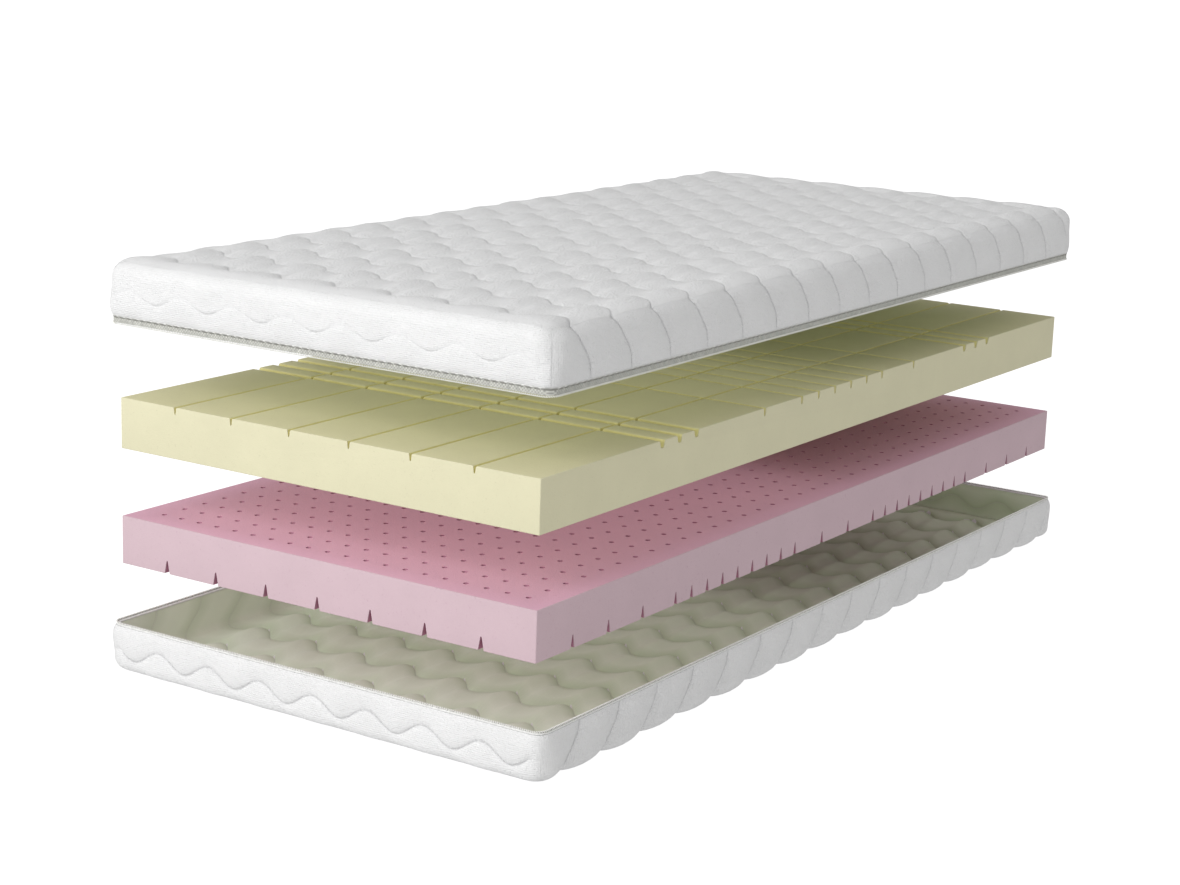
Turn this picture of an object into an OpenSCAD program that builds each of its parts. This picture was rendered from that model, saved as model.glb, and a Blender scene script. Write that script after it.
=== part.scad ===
/* [Foam layers] */
// Length of both foam layers
foam_l = 2000; // [1600:10:2200]
// Width of both foam layers
foam_w = 900; // [700:10:1400]
// Thickness of the perforated core layer
core_h = 88; // [60:1:120]
// Thickness of the comfort layer above the core
comfort_h = 92; // [60:1:120]

/* [Comfort layer grooves] */
// Width of a lumbar groove at its mouth
lumbar_mouth = 10; // [6:0.5:16]
// Width of a lumbar groove at its bottom
lumbar_base = 6; // [2:0.5:8]
// Depth of a lumbar groove
lumbar_depth = 15; // [6:1:24]
// Number of transverse grooves in the lumbar zone
lumbar_grooves = 6; // [2:2:8]
// Spacing of the lumbar grooves
lumbar_pitch = 64.3; // [40:0.1:70]
// Distance from the middle to the single groove beside the lumbar zone
single_groove_x = 298; // [290:1:400]
// Distance from the middle to the centre of the shoulder and leg groups
shoulder_x = 588; // [500:1:640]
// Number of grooves in a shoulder or leg group
shoulder_grooves = 3; // [1:1:4]
// Spacing of the grooves in a shoulder or leg group
shoulder_pitch = 55; // [34:1:60]
// Width of a shoulder or leg groove at its mouth
shoulder_mouth = 26; // [8:1:32]
// Width of a shoulder or leg groove at its bottom
shoulder_base = 8; // [3:0.5:12]
// Depth of a shoulder or leg groove
shoulder_depth = 12; // [6:1:20]
// Number of lengthwise strips that the lengthwise slits make
comfort_strips = 7; // [3:1:11]
// Width of a lengthwise slit at its mouth
strip_mouth = 10; // [4:0.5:14]
// Width of a lengthwise slit at its bottom
strip_base = 2; // [1:0.5:4]
// Depth of a lengthwise slit
strip_depth = 15; // [6:1:24]

/* [Core layer slits] */
// Spacing of the grid that the underside slits follow along the length
core_pitch = 52.7; // [40:0.1:60]
// Spacing of the lengthwise slits in the underside
core_strip_w = 114; // [90:1:140]
// Number of lengthwise slits in the underside
core_strips = 7; // [1:2:7]
// Width of an underside slit at its mouth
core_slit_mouth = 10; // [4:0.5:14]
// Width of an underside slit at its inner end
core_slit_base = 2.5; // [1:0.5:4]
// Depth of an underside slit
core_slit_depth = 24; // [10:1:40]

/* [Cover] */
// Thickness of the outer knitted fabric
fabric_t = 1.2; // [0.8:0.1:2]
// Thickness of the fibre wadding in the quilting
wadding_t = 8.2; // [7:0.1:14]
// Thickness of the backing cloth inside the quilting
lining_t = 0.6; // [0.4:0.1:1.2]
// Room between the foam and the cover at each end
ease_l = 1; // [0.5:0.5:10]
// Room between the foam and the cover at each long side
ease_w = 13; // [11:0.5:20]
// Height of the lower cover half
bottom_cover_h = 95; // [80:1:105]
// Room for the two foam layers in the height of the closed cover
ease_h = 9; // [6:0.5:20]
// Outer corner radius of the cover seen from above
corner_r = 40; // [25:1:40]
// Outer edge radius of the cover seen from the side
edge_r = 26; // [14:1:26]
// Inner corner radius of the cover seen from above, small so that the foam's corner fits
inner_corner_r = 14; // [13:0.5:15]
// Inner edge radius of the cover seen from the side
inner_edge_r = 2; // [1:0.5:2.5]
// Height of the binding at the hem and the rim
binding_h = 3; // [2:0.5:6]

/* [Zip] */
// Height of the zip tape that shows below the upper cover
tape_h = 10; // [8:0.5:14]
// Thickness of the zip tape
tape_t = 1.2; // [0.8:0.1:1.6]
// Cross-section size of one zip coil
coil_d = 4; // [3:0.5:5]
// Distance from the cover's outer face to the coil
zip_inset = 2; // [1:0.5:3]
// Corner radius of the zip seen from above
zip_corner_r = 20; // [15:1:30]
// Space between the two coils when the cover is closed
coil_gap = 2; // [2:0.5:4]
// Length of the slider
slider_l = 16; // [12:1:24]
// Wall thickness of the slider
slider_wall = 1.6; // [1.2:0.1:2]
// Clearance between the slider and what it runs on
slider_clear = 0.4; // [0.3:0.1:0.6]
// Distance from the cover's end to the middle of the slider
slider_inset = 81; // [60:1:600]
// Length of the pull tab
tab_l = 34; // [24:1:50]
// Width of the pull tab
tab_w = 9; // [7:1:12]
// Thickness of the pull tab
tab_t = 1.8; // [1.4:0.1:2.4]
// Diameter of the bar that the pull tab hangs from
bail_d = 2.4; // [2:0.1:3]

/* [Layer spacing] */
// Open space between the lower cover and the core layer
core_gap = 108; // [20:0.5:200]
// Open space between the two foam layers
comfort_gap = 122.5; // [20:0.5:200]
// Open space between the comfort layer and the upper cover
cover_gap = 130.5; // [20:0.5:200]

/* [Hidden] */
$fn = 64;

eps = 0.5;
wall = fabric_t + wadding_t + lining_t;
cover_l = foam_l + 2 * (ease_l + wall);
cover_w = foam_w + 2 * (ease_w + wall);
// Height of the upper cover half with its zip band: what the lower half leaves
top_cover_h = core_h + comfort_h + ease_h + 2 * wall - bottom_cover_h - coil_gap;
core_z = bottom_cover_h + core_gap;
comfort_z = core_z + core_h + comfort_gap;
hem_z = comfort_z + comfort_h + cover_gap;
rim_fabric_z = bottom_cover_h - coil_d - binding_h;
hem_fabric_z = hem_z + coil_d + tape_h + binding_h;
top_z = hem_z + top_cover_h;
coil_top_z = hem_z + coil_d;
// Distance from the cover's outer face to the middle of the tape
tape_mid = zip_inset + coil_d / 2;
zip_y = cover_w / 2 - tape_mid;
slider_x = cover_l / 2 - slider_inset;
slider_h = 2 * coil_d + coil_gap - 2 * slider_clear;
slider_mid_z = hem_z - coil_gap / 2;
slider_in = coil_d + 2 * slider_clear;
slider_t = slider_in + 2 * slider_wall;
bail_y = zip_y + slider_t / 2 + bail_d / 2 + tab_t + slider_clear;
stop_x = slider_x + slider_l / 2 + 8;
stop_l = 6;

// A rectangle with round corners, lying on the XY plane
module round_rect(l, w, r) {
    square([l - 2 * r, w], center = true);
    square([l, w - 2 * r], center = true);
    for (x = [-1, 1], y = [-1, 1])
        translate([x * (l / 2 - r), y * (w / 2 - r)]) circle(r);
}

// The side outline of a cover half: flat below, with two round top corners
module arch(span, h, r) {
    translate([-span / 2, 0]) square([span, h - r]);
    translate([-span / 2 + r, 0]) square([span - 2 * r, h]);
    for (x = [-1, 1]) translate([x * (span / 2 - r), h - r]) circle(r);
}

// A block with round upright corners and round top edges, standing on Z = 0
module soft_block(l, w, h, rc, re) {
    intersection() {
        linear_extrude(h) round_rect(l, w, rc);
        translate([0, w / 2 + eps, 0]) rotate([90, 0, 0]) linear_extrude(w + 2 * eps) arch(l, h, re);
        translate([-l / 2 - eps, 0, 0]) rotate([90, 0, 90]) linear_extrude(l + 2 * eps) arch(w, h, re);
    }
}

// Radii at a depth below the outer face: the fabric follows the soft outer shape, and
// the inside of the wall follows the square foam, so the wadding thins at the corners
function plan_r(a) = a > fabric_t ? inner_corner_r + wall - a : corner_r - a;
function rim_r(a) = a > fabric_t ? inner_edge_r + wall - a : edge_r - a;

// One layer of a cover half's wall, from depth a to depth b below its outer face
module cover_layer(h, a, b) {
    difference() {
        soft_block(cover_l - 2 * a, cover_w - 2 * a, h - a, plan_r(a), rim_r(a));
        translate([0, 0, -eps])
            soft_block(cover_l - 2 * b, cover_w - 2 * b, h - b + eps, plan_r(b), rim_r(b));
    }
}

// The upper cover half opens downwards
module top_layer(a, b) {
    translate([0, 0, hem_fabric_z]) cover_layer(top_z - hem_fabric_z, a, b);
}

// The lower cover half is the same shell turned over
module bottom_layer(a, b) {
    translate([0, 0, rim_fabric_z]) mirror([0, 0, 1]) cover_layer(rim_fabric_z, a, b);
}

// A closed band round the cover: a is its depth from the outer face, t its thickness,
// and r and r_in its outer and inner corner radii
module band(a, t, h, r, r_in) {
    linear_extrude(h) difference() {
        round_rect(cover_l - 2 * a, cover_w - 2 * a, r);
        round_rect(cover_l - 2 * (a + t), cover_w - 2 * (a + t), r_in);
    }
}

// The folded strip that closes a cover half's raw edge
module edge_binding() {
    band(0, wall, binding_h, corner_r, inner_corner_r);
}

// The woven tape of one zip half, with its upright middle on the coil's middle
module tape(h) {
    band(tape_mid - tape_t / 2, tape_t, h, zip_corner_r, zip_corner_r - tape_t);
}

module coil(h) {
    band(zip_inset, coil_d, h, zip_corner_r, zip_corner_r - coil_d);
}

module bottom_fabric() {
    color([0.93, 0.93, 0.93]) bottom_layer(0, fabric_t);
}

module bottom_wadding() {
    color([0.97, 0.97, 0.95]) bottom_layer(fabric_t, fabric_t + wadding_t);
}

module bottom_lining() {
    color([0.72, 0.75, 0.63]) bottom_layer(fabric_t + wadding_t, wall);
}

module rim_binding() {
    color([0.96, 0.96, 0.94]) translate([0, 0, rim_fabric_z]) edge_binding();
}

// The lower tape stands in the binding's plane and carries the lower coil
module zip_tape_lower() {
    color([0.85, 0.85, 0.82]) translate([0, 0, rim_fabric_z + binding_h]) tape(coil_d / 2);
}

module zip_coil_lower() {
    color([0.9, 0.9, 0.88]) translate([0, 0, bottom_cover_h - coil_d / 2]) coil(coil_d / 2);
}

// A small metal clip over the end of a coil, from z up, with its slot from slot_z up
module coil_clip(side, z, h, slot_z, slot_h) {
    difference() {
        translate([side * stop_x - stop_l / 2, zip_y - slider_t / 2, z]) cube([stop_l, slider_t, h]);
        translate([side * stop_x - stop_l, zip_y - coil_d / 2, slot_z]) cube([2 * stop_l, coil_d, slot_h]);
    }
}

// The box at the end of the lower coil, open below over the tape
module zip_retainer_box() {
    clip_z = rim_fabric_z + binding_h;
    color([0.6, 0.61, 0.62])
        coil_clip(1, clip_z, coil_d + coil_gap / 2, clip_z - eps, bottom_cover_h - clip_z + eps);
}

// Grid steps of the underside slits, counted from the middle: closer together in the
// shoulder and leg zones than in the middle and at the ends
core_steps = [1, 3, 4, 5, 6, 7, 8, 9, 10, 11, 13, 15, 17];

// A wedge-shaped cut along Y: its mouth lies on Z = 0 and it narrows upwards
module wedge_cut(mouth, base, depth, run) {
    flare = (mouth - base) / 2 * eps / depth;
    rotate([90, 0, 0]) linear_extrude(run, center = true)
        polygon([
            [-mouth / 2 - flare, -eps], [mouth / 2 + flare, -eps],
            [base / 2, depth], [-base / 2, depth]
        ]);
}

module core_slit(run) {
    wedge_cut(core_slit_mouth, core_slit_base, core_slit_depth, run);
}

module core_foam() {
    color([0.87, 0.68, 0.74]) difference() {
        translate([-foam_l / 2, -foam_w / 2, core_z]) cube([foam_l, foam_w, core_h]);
        for (i = core_steps, s = [-1, 1])
            if (i * core_pitch < foam_l / 2 - core_pitch)
                translate([s * i * core_pitch, 0, core_z]) core_slit(foam_w + 2);
        for (j = [0 : core_strips - 1])
            translate([0, (j - (core_strips - 1) / 2) * core_strip_w, core_z])
                rotate([0, 0, 90]) core_slit(foam_l + 2);
    }
}

// Positions along the length of the narrow and the wide transverse grooves
narrow_x = concat(
    [for (i = [0 : lumbar_grooves - 1]) (i - (lumbar_grooves - 1) / 2) * lumbar_pitch],
    [-single_groove_x, single_groove_x]
);
wide_x = [
    for (s = [-1, 1], i = [0 : shoulder_grooves - 1])
        s * shoulder_x + (i - (shoulder_grooves - 1) / 2) * shoulder_pitch
];

module comfort_foam() {
    face_z = comfort_z + comfort_h;
    color([0.93, 0.9, 0.66]) difference() {
        translate([-foam_l / 2, -foam_w / 2, comfort_z]) cube([foam_l, foam_w, comfort_h]);
        for (x = narrow_x)
            translate([x, 0, face_z]) mirror([0, 0, 1])
                wedge_cut(lumbar_mouth, lumbar_base, lumbar_depth, foam_w + 2);
        for (x = wide_x)
            translate([x, 0, face_z]) mirror([0, 0, 1])
                wedge_cut(shoulder_mouth, shoulder_base, shoulder_depth, foam_w + 2);
        for (j = [1 : comfort_strips - 1])
            translate([0, j * foam_w / comfort_strips - foam_w / 2, face_z]) mirror([0, 0, 1])
                rotate([0, 0, 90]) wedge_cut(strip_mouth, strip_base, strip_depth, foam_l + 2);
    }
}

module top_fabric() {
    color([0.95, 0.95, 0.95]) top_layer(0, fabric_t);
}

module top_wadding() {
    color([0.97, 0.97, 0.95]) top_layer(fabric_t, fabric_t + wadding_t);
}

module top_lining() {
    color([0.9, 0.91, 0.86]) top_layer(fabric_t + wadding_t, wall);
}

module hem_binding() {
    color([0.96, 0.96, 0.94]) translate([0, 0, hem_fabric_z - binding_h]) edge_binding();
}

module zip_tape_upper() {
    color([0.85, 0.85, 0.82]) translate([0, 0, coil_top_z]) tape(tape_h);
}

module zip_coil_upper() {
    color([0.9, 0.9, 0.88]) translate([0, 0, hem_z]) coil(coil_d);
}

// A clip on the upper coil, open above over the tape: the floor under the coil is thin
module upper_clip(side) {
    coil_clip(side, hem_z - coil_gap / 4, 1.5 * coil_d, hem_z, 2 * coil_d);
}

module zip_pin() {
    color([0.6, 0.61, 0.62]) upper_clip(1);
}

// The stop near the other end of the same long side
module zip_stop() {
    color([0.6, 0.61, 0.62]) upper_clip(-1);
}

// Two plates round both coils, joined by a thin post that passes between the coils
module zip_slider() {
    color([0.75, 0.76, 0.78]) {
        for (s = [-1, 1])
            translate([
                slider_x - slider_l / 2,
                zip_y + s * (slider_in + slider_wall) / 2 - slider_wall / 2,
                slider_mid_z - slider_h / 2
            ]) cube([slider_l, slider_wall, slider_h]);
        translate([slider_x - slider_l / 8, zip_y - slider_t / 2, slider_mid_z - coil_gap / 4])
            cube([slider_l / 4, slider_t, coil_gap / 2]);
    }
}

// The bridge on the slider's outer plate, with the bar that the pull tab hangs from
module slider_bail() {
    foot_y = zip_y + slider_t / 2;
    color([0.75, 0.76, 0.78]) {
        for (s = [-1, 1])
            translate([slider_x + s * (slider_l / 2 - bail_d / 2) - bail_d / 2, foot_y, slider_mid_z - bail_d / 2])
                cube([bail_d, bail_y - foot_y + bail_d / 2, bail_d]);
        translate([slider_x - slider_l / 2 + bail_d / 2, bail_y, slider_mid_z])
            rotate([0, 90, 0]) cylinder(d = bail_d, h = slider_l - bail_d);
    }
}

// A flat tab with an eye round the bar and a finger hole at its end
module pull_tab() {
    eye_d = bail_d + 2 * tab_t;
    eye_l = slider_l - 2 * bail_d - 2 * slider_clear;
    color([0.75, 0.76, 0.78]) difference() {
        union() {
            translate([slider_x - eye_l / 2, bail_y, slider_mid_z])
                rotate([0, 90, 0]) cylinder(d = eye_d, h = eye_l);
            translate([slider_x - tab_w / 2, bail_y - tab_t / 2, slider_mid_z - tab_l + tab_w / 2])
                cube([tab_w, tab_t, tab_l - tab_w / 2]);
            translate([slider_x, bail_y + tab_t / 2, slider_mid_z - tab_l + tab_w / 2])
                rotate([90, 0, 0]) cylinder(d = tab_w, h = tab_t);
        }
        translate([slider_x - eye_l, bail_y, slider_mid_z])
            rotate([0, 90, 0]) cylinder(d = bail_d + 0.1, h = 2 * eye_l);
        translate([slider_x, bail_y + tab_t, slider_mid_z - tab_l + tab_w / 2])
            rotate([90, 0, 0]) cylinder(d = tab_w / 2, h = 2 * tab_t);
    }
}

bottom_fabric();
bottom_wadding();
bottom_lining();
rim_binding();
zip_tape_lower();
zip_coil_lower();
zip_retainer_box();
core_foam();
comfort_foam();
top_fabric();
top_wadding();
top_lining();
hem_binding();
zip_tape_upper();
zip_coil_upper();
zip_pin();
zip_stop();
zip_slider();
slider_bail();
pull_tab();
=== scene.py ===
import math
from contextlib import contextmanager

import bmesh
import bpy
import numpy as np
from mathutils import Matrix, Vector


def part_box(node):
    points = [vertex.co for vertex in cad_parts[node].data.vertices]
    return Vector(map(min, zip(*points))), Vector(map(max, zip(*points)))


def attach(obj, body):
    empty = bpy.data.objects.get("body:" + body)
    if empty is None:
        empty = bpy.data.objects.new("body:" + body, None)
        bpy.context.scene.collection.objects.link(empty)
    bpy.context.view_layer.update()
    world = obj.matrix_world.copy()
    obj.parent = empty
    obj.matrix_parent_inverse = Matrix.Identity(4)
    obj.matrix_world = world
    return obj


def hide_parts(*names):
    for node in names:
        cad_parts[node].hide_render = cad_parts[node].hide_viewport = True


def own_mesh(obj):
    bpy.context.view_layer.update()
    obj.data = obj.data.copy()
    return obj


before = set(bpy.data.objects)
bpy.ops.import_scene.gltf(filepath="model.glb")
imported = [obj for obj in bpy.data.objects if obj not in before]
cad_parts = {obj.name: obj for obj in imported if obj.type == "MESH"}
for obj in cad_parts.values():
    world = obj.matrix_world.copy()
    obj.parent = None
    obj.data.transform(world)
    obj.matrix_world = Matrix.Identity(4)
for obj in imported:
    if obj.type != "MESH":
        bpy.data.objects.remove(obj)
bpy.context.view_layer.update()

bl_info = {
    "name": "Layered foam mattress",
    "version": (1, 0, 0),
    "blender": (4, 5, 0),
    "location": "3D View > Sidebar > Mattress",
    "description": "Dresses the mattress frame with quilted covers, foam layers and a zip",
    "category": "Object",
}

MM = 0.001

LOWER_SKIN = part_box("bottom_fabric")
UPPER_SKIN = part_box("top_fabric")
LOWER_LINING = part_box("bottom_lining")
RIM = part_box("rim_binding")
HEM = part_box("hem_binding")
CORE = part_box("core_foam")
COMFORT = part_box("comfort_foam")
LOWER_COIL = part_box("zip_coil_lower")
UPPER_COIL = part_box("zip_coil_upper")
HALF_L = UPPER_SKIN[1].x
HALF_W = UPPER_SKIN[1].y
ROWS_ACROSS = 8
RIBBON_SMOOTHING = math.radians(60)
METAL_SMOOTHING = math.radians(35)
METAL_NODES = {
    "zip_slider": "slider",
    "slider_bail": "slider",
    "pull_tab": "tab",
    "zip_pin": "top_cover",
    "zip_stop": "top_cover",
    "zip_retainer_box": "bottom_cover",
}


# ---------------------------------------------------------------- sizes and colours

def number_prop(name, text, default, low, **limits):
    return bpy.props.FloatProperty(
        name=name, description=text, default=default, min=low, **limits)


def length_prop(name, text, default, low):
    return number_prop(name, text, default, low, unit="LENGTH")


def angle_prop(name, text, degrees):
    return bpy.props.FloatProperty(
        name=name, description=text, default=math.radians(degrees), subtype="ANGLE")


def colour_prop(name, text, default):
    return bpy.props.FloatVectorProperty(
        name=name, description=text, default=default, subtype="COLOR", size=3, min=0, max=1)


class QuiltSizes(bpy.types.PropertyGroup):
    """Sizes of the quilting on both cover halves"""
    row_pitch: length_prop("Row pitch", "Spacing of the quilting rows and length of their waves",
        2 * HALF_W / ROWS_ACROSS, 0.05)
    wave_height: length_prop("Wave height", "How far a row's seam swings to and fro", 0.044, 0.0)
    side_swing: length_prop("Side swing", "How far a seam leans as it comes down a long side", 0.046,
        0.0)
    side_drop: length_prop("Side drop", "Height over which the seam leans on a long side", 0.080, 0.02)
    end_wave: length_prop("End wave", "Height of the wavy seam on the lower half's end faces", 0.027,
        0.0)
    end_seam: length_prop("End seam", "How far that seam lies from the flat bottom", 0.042, 0.0)
    upper_end_wave: length_prop("Upper end wave", "Height of the fainter seam on the upper half",
        0.019, 0.0)
    upper_end_seam: length_prop("Upper end seam", "How far that seam lies from the top", 0.057, 0.0)
    puff: length_prop("Puff height", "Height of the padding between two seams", 0.0115, 0.001)
    proud: length_prop("Proud", "How far the padding stands out of the plain cover shape", 0.0070, 0.0)
    lining_puff: length_prop("Lining puff", "Height of the padding on the inside", 0.0058, 0.0)
    floor_puff: length_prop("Floor puff", "Height of the uncrushed padding on the lower half's floor",
        0.0135, 0.0)
    crush: number_prop("Crush", "Share of the floor padding's height left under the foam", 0.30, 0.05,
        max=1.0)
    side_bulge: number_prop("Side bulge", "How much fuller the lower half's long sides are", 0.25, 0.0)
    pinch: length_prop("Pinch", "How much deeper a seam pulls in at the lower half's edges", 0.0012,
        0.0)
    fabric: length_prop("Fabric thickness", "Thickness of the outer knit", 0.0012, 0.0005)
    lining: length_prop("Lining thickness", "Thickness of the backing cloth", 0.0006, 0.0003)
    stitch: length_prop("Stitch length", "Length of one quilting stitch", 0.0045, 0.001)
    corner: length_prop("Corner radius", "Radius of the soft corners seen from above", 0.040, 0.005)
    hem_corner: length_prop("Hem corner radius", "Radius of those corners where the zip holds them",
        0.023, 0.005)
    edge: length_prop("Edge radius", "Radius of the soft edges seen from the side", 0.026, 0.005)


class FoamSizes(bpy.types.PropertyGroup):
    """Sizes of the grooves, slits and holes in the two foam layers"""
    edge: length_prop("Edge rounding", "Rounding of the sawn foam edges", 0.0016, 0.0)
    shoulder: length_prop("Groove shoulder", "Rounding beside a narrow groove", 0.0030, 0.0005)
    wide_shoulder: length_prop("Wide groove shoulder", "Rounding beside a wide groove", 0.0045, 0.0005)
    hole: length_prop("Hole diameter", "Diameter of the holes through the core layer", 0.0092, 0.002)
    hole_step_x: length_prop("Hole step, length", "Spacing of the holes along the length", 0.0527,
        0.02)
    hole_step_y: length_prop("Hole step, width", "Spacing of the holes along the width", 0.0418, 0.02)
    columns: bpy.props.IntProperty(
        name="Columns", description="Columns of holes along the length", default=37, min=1)
    rows: bpy.props.IntProperty(
        name="Rows", description="Rows of holes across the width", default=20, min=1)


class ZipSizes(bpy.types.PropertyGroup):
    """Sizes of the zip"""
    turn: length_prop("Coil turn", "Spacing of the coil's turns", 0.0038, 0.001)
    wire: length_prop("Coil wire", "Thickness of the coil's nylon wire", 0.0017, 0.0003)
    corner: length_prop("Zip corner radius", "Corner radius of the zip seen from above", 0.020, 0.005)
    metal_edge: length_prop("Metal edge rounding", "Rounding of the slider's and clips' edges", 0.0004,
        0.0)


class MattressColours(bpy.types.PropertyGroup):
    """Colours of the finishes"""
    knit: colour_prop("Knit", "Outer quilted fabric", (0.83, 0.83, 0.83))
    wadding: colour_prop("Wadding", "Fibre filling", (0.86, 0.86, 0.84))
    lining: colour_prop("Lining", "Backing cloth inside the covers", (0.75, 0.83, 0.64))
    binding: colour_prop("Binding", "Woven edge binding", (0.86, 0.86, 0.84))
    tape: colour_prop("Zip tape", "Woven tape of the zip", (0.53, 0.53, 0.49))
    coil: colour_prop("Zip coil", "Nylon coil of the zip", (0.85, 0.85, 0.82))
    metal: colour_prop("Zip metal", "Enamel on the slider and clips", (0.62, 0.62, 0.63))
    comfort_side: colour_prop("Comfort layer, sides", "Sawn sides of the comfort layer",
        (0.665, 0.635, 0.445))
    # painted shade: the faces a deeper colour than the sides, for the shade under the layers above
    comfort_top_shaded: colour_prop("Comfort layer, top", "Cut face of the comfort layer", (0.66, 0.62, 0.40))
    # painted highlight: lighter yellow on the groove walls
    comfort_groove_highlight: colour_prop("Comfort layer, cuts", "Inside the grooves of the comfort layer",
        (0.80, 0.73, 0.32))
    core_side: colour_prop("Core layer, sides", "Sawn sides of the core layer", (0.575, 0.435, 0.475))
    # painted shade: the faces a deeper colour than the sides, for the shade under the layers above
    core_top_shaded: colour_prop("Core layer, top", "Cut face of the core layer", (0.66, 0.39, 0.50))
    # painted shade: darker in the holes and slits
    core_cut_shade: colour_prop("Core layer, cuts", "Inside the holes and slits of the core layer",
        (0.43, 0.18, 0.26))


class StageSettings(bpy.types.PropertyGroup):
    """Floor, lights and camera"""
    floor_size: length_prop("Floor size", "Side of the pale floor", 400.0, 4.0)
    floor_glow: number_prop("Floor glow", "How brightly the studio floor lights the mattress", 0.50,
        0.0)
    floor_white: number_prop("Floor white", "How brightly the studio floor itself is seen", 0.92, 0.0)
    sky: number_prop("Sky", "Strength of the even studio light", 0.50, 0.0)
    foot_sky: number_prop("Foot sky", "Extra studio light from beyond the foot end", 0.50, 0.0)
    key: number_prop("Key light", "Power of the large soft light at the foot end", 125.0, 0.0,
        unit="POWER")
    overhead: number_prop("Overhead light", "Power of the soft light above the mattress", 4.0, 0.0,
        unit="POWER")
    gap: number_prop("Gap light", "Power of the soft lights between the opened layers", 1.1, 0.0,
        unit="POWER")
    lens: number_prop("Lens", "Focal length in millimetres for a 36 mm sensor", 73.8, 10.0)
    place: bpy.props.FloatVectorProperty(
        name="Camera place", description="Where the camera stands", subtype="TRANSLATION",
        default=(-4.01094, -2.52270, 1.40673), size=3)
    azimuth: angle_prop("Azimuth", "Direction that the camera looks from, seen from above", -56.622)
    elevation: angle_prop("Elevation", "Angle at which the camera looks down", 12.953)
    roll: angle_prop("Roll", "Tilt of the camera about its own axis", 1.929)


# ---------------------------------------------------------------- node trees

class Board:
    """A node tree with short calls for adding nodes and joining them"""

    def __init__(self, tree):
        self.tree = tree

    def add(self, kind, inputs=None, **settings):
        item = self.tree.nodes.new(kind)
        for name, value in settings.items():
            setattr(item, name, value)
        self.fill(item, inputs or {})
        return item

    def fill(self, item, values):
        for name, value in values.items():
            self.feed(value, item.inputs[name])

    def feed(self, value, socket):
        if isinstance(value, bpy.types.NodeSocket):
            self.tree.links.new(value, socket)
        else:
            socket.default_value = value

    def math(self, operation, a, b=0.0):
        return self.add("ShaderNodeMath", {0: a, 1: b}, operation=operation).outputs[0]

    def times(self, a, b):
        return self.math("MULTIPLY", a, b)

    def plus(self, a, *others):
        for b in others:
            a = self.math("ADD", a, b)
        return a

    def minus(self, a, b):
        return self.math("SUBTRACT", a, b)

    def over(self, a, b):
        return self.math("DIVIDE", a, b)

    def absolute(self, a):
        return self.math("ABSOLUTE", a)

    def sine(self, a):
        return self.math("SINE", a)

    def fraction(self, a):
        return self.math("FRACT", a)

    def split(self, vector):
        return self.add("ShaderNodeSeparateXYZ", {"Vector": vector}).outputs

    def ramp(self, value, low, high, out_low=0.0, out_high=1.0):
        return self.add("ShaderNodeMapRange", {
            "Value": value, "From Min": low, "From Max": high,
            "To Min": out_low, "To Max": out_high}).outputs["Result"]

    def mix(self, factor, a, b):
        item = self.add("ShaderNodeMix", data_type="RGBA")
        self.feed(factor, item.inputs["Factor"])
        self.feed(a, item.inputs["A"])
        self.feed(b, item.inputs["B"])
        return item.outputs["Result"]

    def noise(self, vector, scale, detail=3.0, roughness=0.55):
        return self.add("ShaderNodeTexNoise", {
            "Vector": vector, "Scale": scale, "Detail": detail, "Roughness": roughness,
        }).outputs["Fac"]

    def group(self, tree, inputs):
        item = self.tree.nodes.new("ShaderNodeGroup")
        item.node_tree = tree
        self.fill(item, inputs)
        return item.outputs

    def mottled(self, vector, colour, scale, amount):
        return self.group(shared("SoftMottle", soft_mottle), {
            "Vector": vector, "Color": colour, "Scale": scale, "Amount": amount})["Color"]


def new_group(name, inputs, outputs):
    """An empty shader node group; returns its board, its inputs and its output node"""
    tree = bpy.data.node_groups.new(name, "ShaderNodeTree")
    for label, kind, value in inputs:
        socket = tree.interface.new_socket(label, in_out="INPUT", socket_type=kind)
        if kind != "NodeSocketVector":
            socket.default_value = value
    for label, kind in outputs:
        tree.interface.new_socket(label, in_out="OUTPUT", socket_type=kind)
    board = Board(tree)
    return board, board.add("NodeGroupInput").outputs, board.add("NodeGroupOutput").inputs


def shared(name, make):
    """The node group of that name, built on first use"""
    return bpy.data.node_groups.get(name) or make(name)


def knit_relief(name):
    """Wales and courses of a fine knit, from a flat pattern in metres"""
    board, given, out = new_group(
        name, [("Vector", "NodeSocketVector", None), ("Wale", "NodeSocketFloat", 0.003)],
        [("Height", "NodeSocketFloat")])
    flat = board.split(given["Vector"])
    turn = board.over(2 * math.pi, given["Wale"])
    wobble = board.noise(given["Vector"], 60.0, 2.0)
    across = board.plus(board.times(flat["X"], turn), board.times(wobble, 2.2))
    wale = board.sine(across)
    along = board.times(board.times(flat["Y"], turn), 1.4)
    course = board.sine(board.plus(along, board.times(wale, 1.3)))
    board.feed(board.plus(board.times(wale, 0.30), board.times(course, 0.20), 0.5),
               out["Height"])
    return board.tree


def cloth_weave(name):
    """Over-and-under threads of a plain weave"""
    board, given, out = new_group(
        name, [("Vector", "NodeSocketVector", None), ("Thread", "NodeSocketFloat", 0.001)],
        [("Height", "NodeSocketFloat")])
    flat = board.split(given["Vector"])
    turn = board.over(math.pi, given["Thread"])
    warp = board.sine(board.times(flat["X"], turn))
    weft = board.sine(board.times(flat["Y"], turn))
    board.feed(board.ramp(board.times(warp, weft), -1.0, 1.0), out["Height"])
    return board.tree


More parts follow.
